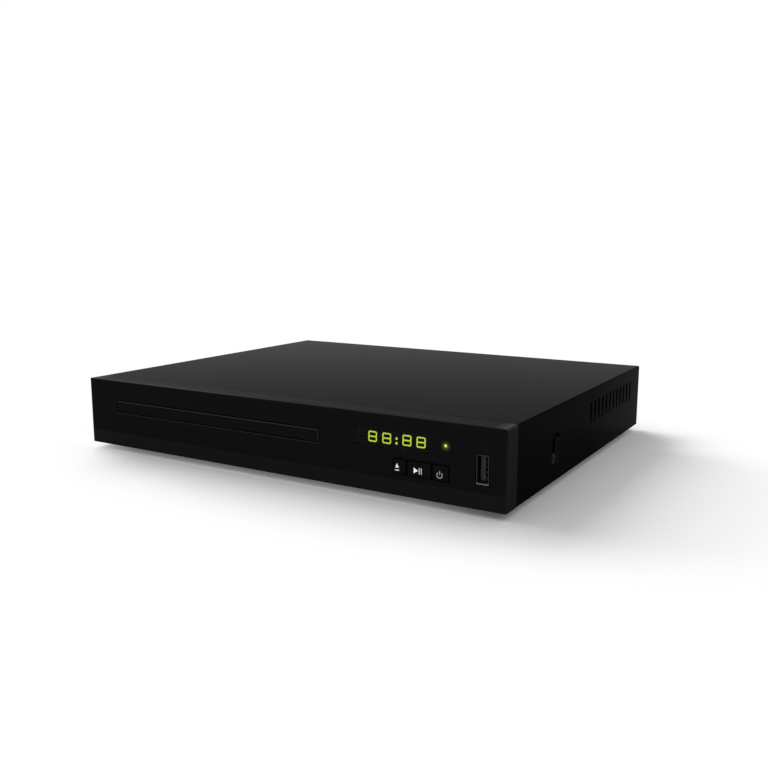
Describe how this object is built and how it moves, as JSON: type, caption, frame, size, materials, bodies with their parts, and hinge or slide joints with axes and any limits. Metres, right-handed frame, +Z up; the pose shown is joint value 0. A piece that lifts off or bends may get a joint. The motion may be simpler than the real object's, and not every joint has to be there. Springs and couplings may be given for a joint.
{
  "type": "dvd player",
  "caption": "Slim disc player with a motor-driven tray, lit clock display, push buttons and an upright data socket on the front.",
  "frame": {"origin": "centre of the bounding box's bottom, on the surface the player stands on", "axes": "+X to the right seen from the front (longest), +Y to the rear, +Z up (shortest)"},
  "size_m": [0.26, 0.22, 0.041],
  "materials": {
    "black_moulding": "satin moulded black ABS with a fine grain",
    "smoked_lens": "smoked acrylic, flush with the front",
    "green_light": "clear light pipe, lit green",
    "switch_black": "moulded switch body",
    "bright_steel": "bright nickel-plated steel",
    "socket_insulator": "light grey moulded insulator",
    "board_green": "glass-fibre circuit board with green resist",
    "board_tan": "paper-phenolic circuit board",
    "module_black": "black display module",
    "lit_segments": "lit yellow-green segments",
    "receiver_dark": "dark epoxy receiver",
    "zinc_steel": "zinc-plated steel",
    "black_painted_steel": "satin black paint on pressed steel",
    "black_screw": "black-finished steel screw",
    "galvanised_steel": "galvanised pressed steel",
    "foot_rubber": "matt black rubber",
    "tray_black": "moulded black tray",
    "loader_black": "moulded black frame",
    "puck_white": "moulded white acetal",
    "gear_white": "moulded natural acetal",
    "cam_white": "moulded natural acetal",
    "belt_rubber": "square rubber belt",
    "motor_steel": "plated steel motor can",
    "turntable_black": "moulded turntable with a rubber seat",
    "sled_grey": "die-cast pickup body",
    "lens_clear": "coated objective lens in its holder",
    "chip_black": "moulded chip packages",
    "capacitor_sleeve": "dark sleeved can capacitors",
    "ferrite": "ferrite core and taped winding",
    "plain_aluminium": "plain aluminium sheet",
    "connector_white": "moulded connector and fuse",
    "wire_brown": "insulated wire",
    "ribbon_white": "flat cable and its connectors",
    "jack_insulator": "moulded jack block",
    "inlet_black": "moulded inlet",
    "pin_brass": "plated brass pins"
  },
  "bodies": {
    "housing": {"front_bezel": "black_moulding", "display_window": "smoked_lens", "power_led": "green_light", "tact_switches": "switch_black", "socket_shell": "bright_steel", "socket_tongue": "socket_insulator", "front_board": "board_green", "clock_display": "module_black", "display_segments": "lit_segments", "ir_receiver": "receiver_dark", "front_board_screws": "zinc_steel", "top_cover": "black_painted_steel", "side_screws": "black_screw", "rear_screws": "black_screw", "chassis_base": "galvanised_steel", "back_panel": "black_painted_steel", "rubber_feet": "foot_rubber", "loader_frame": "loader_black", "loader_screws": "zinc_steel", "clamp_bridge": "galvanised_steel", "drive_belt": "belt_rubber", "loading_motor": "motor_steel", "power_board": "board_tan", "main_board": "board_green", "board_screws": "zinc_steel", "main_chips": "chip_black", "board_capacitors": "capacitor_sleeve", "mains_capacitor": "capacitor_sleeve", "transformer": "ferrite", "heat_sink": "plain_aluminium", "power_connector": "connector_white", "mains_wires": "wire_brown", "front_ribbon": "ribbon_white", "video_socket": "bright_steel", "av_jacks": "jack_insulator", "jack_collars": "bright_steel", "mains_inlet": "inlet_black", "inlet_pins": "pin_brass"},
    "eject_button": {"eject_button": "black_moulding"},
    "play_button": {"play_button": "black_moulding"},
    "power_button": {"power_button": "black_moulding"},
    "tray": {"disc_tray": "tray_black", "tray_door": "black_moulding"},
    "drive_gear": {"drive_gear": "gear_white"},
    "pulley_gear": {"pulley_gear": "gear_white"},
    "motor_pulley": {"motor_pulley": "gear_white"},
    "cam_slider": {"cam_slider": "cam_white"},
    "deck": {"traverse_deck": "galvanised_steel", "spindle_motor": "motor_steel", "guide_rods": "bright_steel", "sled_motor": "motor_steel"},
    "turntable": {"turntable": "turntable_black"},
    "clamp_puck": {"clamp_puck": "puck_white"},
    "pickup": {"pickup_sled": "sled_grey", "objective_lens": "lens_clear"},
    "lead_screw": {"lead_screw": "bright_steel"}
  },
  "joints": [
    {"name": "eject_press", "type": "slide", "parent": "housing", "child": "eject_button", "axis": [0, 1, 0], "range_m": [0, 0.0005], "stiffness_N_per_m": 1500},
    {"name": "play_press", "type": "slide", "parent": "housing", "child": "play_button", "axis": [0, 1, 0], "range_m": [0, 0.0005], "stiffness_N_per_m": 1500},
    {"name": "power_press", "type": "slide", "parent": "housing", "child": "power_button", "axis": [0, 1, 0], "range_m": [0, 0.0005], "stiffness_N_per_m": 1500},
    {"name": "tray_slide", "type": "slide", "parent": "housing", "child": "tray", "axis": [0, -1, 0], "range_m": [0, 0.134]},
    {"name": "drive_gear_spin", "type": "hinge", "parent": "housing", "child": "drive_gear", "pos_m": [0.01598, -0.082, 0.022], "axis": [0, 0, 1], "range_deg": [-965, 0]},
    {"name": "pulley_gear_spin", "type": "hinge", "parent": "housing", "child": "pulley_gear", "pos_m": [-0.00174, -0.082, 0.019], "axis": [0, 0, 1], "range_deg": [0, 2065]},
    {"name": "motor_spin", "type": "hinge", "parent": "housing", "child": "motor_pulley", "pos_m": [-0.044, -0.082, 0.019], "axis": [0, 0, 1], "range_deg": [0, 7950]},
    {"name": "cam_slide", "type": "slide", "parent": "housing", "child": "cam_slider", "axis": [-1, 0, 0], "range_m": [0, 0.02]},
    {"name": "deck_tilt", "type": "hinge", "parent": "housing", "child": "deck", "pos_m": [-0.03815, 0.064, 0.0162], "axis": [1, 0, 0], "range_deg": [0, 3.43]},
    {"name": "turntable_spin", "type": "hinge", "parent": "deck", "child": "turntable", "pos_m": [-0.03815, -0.037, 0.026], "axis": [0, 0, 1], "continuous": true},
    {"name": "puck_spin", "type": "hinge", "parent": "housing", "child": "clamp_puck", "pos_m": [-0.03815, -0.037, 0.031], "axis": [0, 0, 1], "continuous": true},
    {"name": "pickup_slide", "type": "slide", "parent": "deck", "child": "pickup", "axis": [0, 1, 0], "range_m": [0, 0.034]},
    {"name": "lead_screw_spin", "type": "hinge", "parent": "deck", "child": "lead_screw", "pos_m": [-0.07165, 0.02, 0.0204], "axis": [0, 1, 0], "range_deg": [0, 4090]}
  ],
  "couplings": [
    {"joint": "drive_gear_spin", "follows": "tray_slide", "rad_per_m": -125},
    {"joint": "pulley_gear_spin", "follows": "tray_slide", "rad_per_m": 267.86},
    {"joint": "motor_spin", "follows": "tray_slide", "rad_per_m": 1030.6},
    {"joint": "deck_tilt", "follows": "cam_slide", "rad_per_m": 2.972},
    {"joint": "puck_spin", "follows": "turntable_spin", "ratio": 1},
    {"joint": "lead_screw_spin", "follows": "pickup_slide", "rad_per_m": 2094.4}
  ]
}
